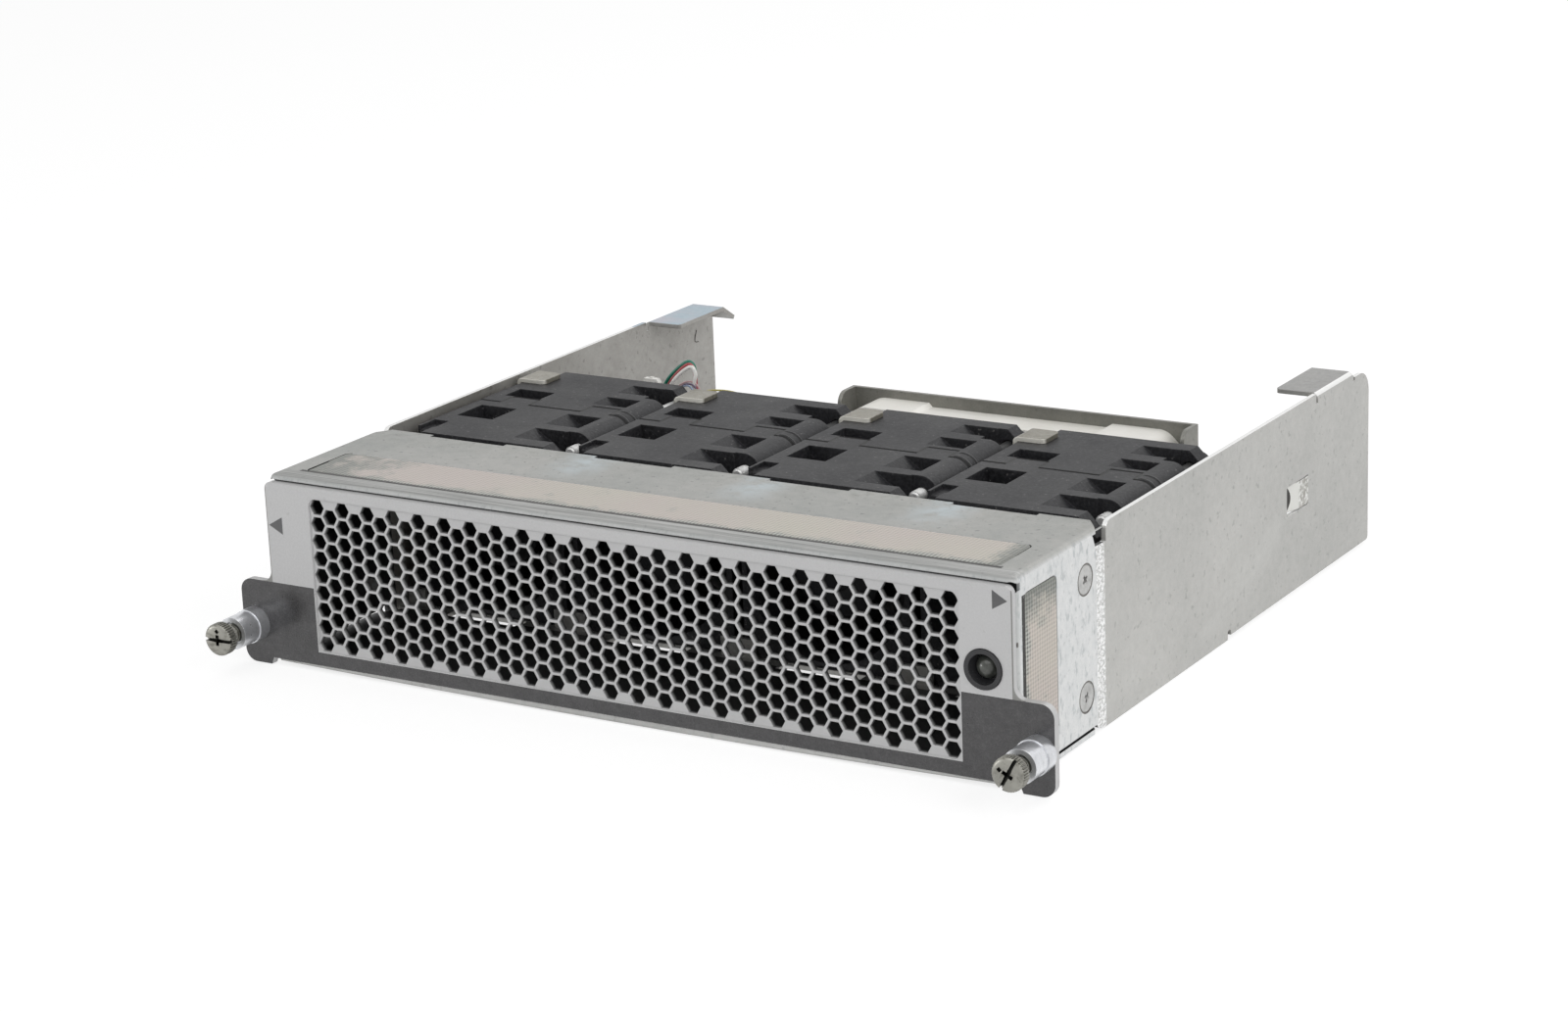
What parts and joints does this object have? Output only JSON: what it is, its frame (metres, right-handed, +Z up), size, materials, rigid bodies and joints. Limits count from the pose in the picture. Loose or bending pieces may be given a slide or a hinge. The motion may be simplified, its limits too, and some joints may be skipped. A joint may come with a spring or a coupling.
{
  "type": "switch fan tray",
  "caption": "Plug-in fan tray of a rack switch: perforated faceplate with captive thumbscrews, a row of counter-rotating fans on a bent tray, and a docking connector at the rear.",
  "frame": {"origin": "bottom centre of the whole fan tray", "axes": "+X to the right seen from the front, +Y from the faceplate to the docking connector, +Z up"},
  "size_m": [0.1938, 0.193, 0.0459],
  "materials": {
    "grey_paint": "satin silver-grey paint, with a dark grey print over the ears and the lower band",
    "galvanised_sheet": "satin galvanised sheet with faint mottling",
    "bracket_sheet": "dark brushed sheet",
    "ivory_plastic": "matt",
    "contact_metal": "bright",
    "screw_steel": "satin",
    "gasket_fabric": "woven conductive fabric over foam",
    "black_plastic": "satin",
    "lamp_plastic": "clear, unlit",
    "rivet_aluminium": "satin",
    "white_nylon": "matt",
    "green_insulation": "smooth",
    "red_insulation": "smooth",
    "white_insulation": "smooth",
    "black_sleeve": "matt sleeve",
    "fan_plastic": "fine-grained charcoal",
    "rotor_plastic": "fine-grained charcoal",
    "nickel_plate": "bright nickel",
    "spring_steel": "bright wire",
    "screw_nickel": "satin nickel"
  },
  "bodies": {
    "tray": {"faceplate": "grey_paint", "front_shell": "galvanised_sheet", "chassis_tray": "galvanised_sheet", "fan_clips": "galvanised_sheet", "connector_bracket": "bracket_sheet", "docking_connector": "ivory_plastic", "connector_contacts": "contact_metal", "connector_screws": "screw_steel", "top_gasket": "gasket_fabric", "bottom_gasket": "gasket_fabric", "right_gasket": "gasket_fabric", "left_gasket": "gasket_fabric", "lamp_bezel": "black_plastic", "lamp_lens": "lamp_plastic", "side_screws": "screw_steel", "clip_rivets": "rivet_aluminium", "bracket_rivets": "rivet_aluminium", "fan_screws": "screw_steel", "plug_housing": "white_nylon", "green_lead": "green_insulation", "red_lead": "red_insulation", "white_lead": "white_insulation", "sleeved_leads": "black_sleeve", "fan_1_front_frame": "fan_plastic", "fan_1_rear_frame": "fan_plastic", "fan_2_front_frame": "fan_plastic", "fan_2_rear_frame": "fan_plastic", "fan_3_front_frame": "fan_plastic", "fan_3_rear_frame": "fan_plastic", "fan_4_front_frame": "fan_plastic", "fan_4_rear_frame": "fan_plastic", "left_screw_barrel": "nickel_plate", "left_screw_spring": "spring_steel", "right_screw_barrel": "nickel_plate", "right_screw_spring": "spring_steel"},
    "fan_1_front_rotor": {"fan_1_front_rotor": "rotor_plastic"},
    "fan_1_rear_rotor": {"fan_1_rear_rotor": "rotor_plastic"},
    "fan_2_front_rotor": {"fan_2_front_rotor": "rotor_plastic"},
    "fan_2_rear_rotor": {"fan_2_rear_rotor": "rotor_plastic"},
    "fan_3_front_rotor": {"fan_3_front_rotor": "rotor_plastic"},
    "fan_3_rear_rotor": {"fan_3_rear_rotor": "rotor_plastic"},
    "fan_4_front_rotor": {"fan_4_front_rotor": "rotor_plastic"},
    "fan_4_rear_rotor": {"fan_4_rear_rotor": "rotor_plastic"},
    "left_ring": {"left_retaining_ring": "nickel_plate"},
    "left_screw": {"left_thumbscrew": "screw_nickel"},
    "right_ring": {"right_retaining_ring": "nickel_plate"},
    "right_screw": {"right_thumbscrew": "screw_nickel"}
  },
  "joints": [
    {"name": "fan_1_front_spin", "type": "hinge", "parent": "tray", "child": "fan_1_front_rotor", "pos_m": [-0.06375, -0.0111, 0.021], "axis": [0, 1, 0], "continuous": true},
    {"name": "fan_1_rear_spin", "type": "hinge", "parent": "tray", "child": "fan_1_rear_rotor", "pos_m": [-0.06375, -0.0111, 0.021], "axis": [0, 1, 0], "continuous": true},
    {"name": "fan_2_front_spin", "type": "hinge", "parent": "tray", "child": "fan_2_front_rotor", "pos_m": [-0.02125, -0.0111, 0.021], "axis": [0, 1, 0], "continuous": true},
    {"name": "fan_2_rear_spin", "type": "hinge", "parent": "tray", "child": "fan_2_rear_rotor", "pos_m": [-0.02125, -0.0111, 0.021], "axis": [0, 1, 0], "continuous": true},
    {"name": "fan_3_front_spin", "type": "hinge", "parent": "tray", "child": "fan_3_front_rotor", "pos_m": [0.02125, -0.0111, 0.021], "axis": [0, 1, 0], "continuous": true},
    {"name": "fan_3_rear_spin", "type": "hinge", "parent": "tray", "child": "fan_3_rear_rotor", "pos_m": [0.02125, -0.0111, 0.021], "axis": [0, 1, 0], "continuous": true},
    {"name": "fan_4_front_spin", "type": "hinge", "parent": "tray", "child": "fan_4_front_rotor", "pos_m": [0.06375, -0.0111, 0.021], "axis": [0, 1, 0], "continuous": true},
    {"name": "fan_4_rear_spin", "type": "hinge", "parent": "tray", "child": "fan_4_rear_rotor", "pos_m": [0.06375, -0.0111, 0.021], "axis": [0, 1, 0], "continuous": true},
    {"name": "left_screw_press", "type": "slide", "parent": "tray", "child": "left_ring", "axis": [0, 1, 0], "range_m": [0, 0.0015], "stiffness_N_per_m": 300, "springref_m": -0.003, "deforming": ["left_screw_spring"]},
    {"name": "left_screw_turn", "type": "hinge", "parent": "left_ring", "child": "left_screw", "pos_m": [-0.0932, -0.0895, 0.0087], "axis": [0, 1, 0], "continuous": true},
    {"name": "right_screw_press", "type": "slide", "parent": "tray", "child": "right_ring", "axis": [0, 1, 0], "range_m": [0, 0.0015], "stiffness_N_per_m": 300, "springref_m": -0.003, "deforming": ["right_screw_spring"]},
    {"name": "right_screw_turn", "type": "hinge", "parent": "right_ring", "child": "right_screw", "pos_m": [0.0932, -0.0895, 0.0087], "axis": [0, 1, 0], "continuous": true}
  ]
}
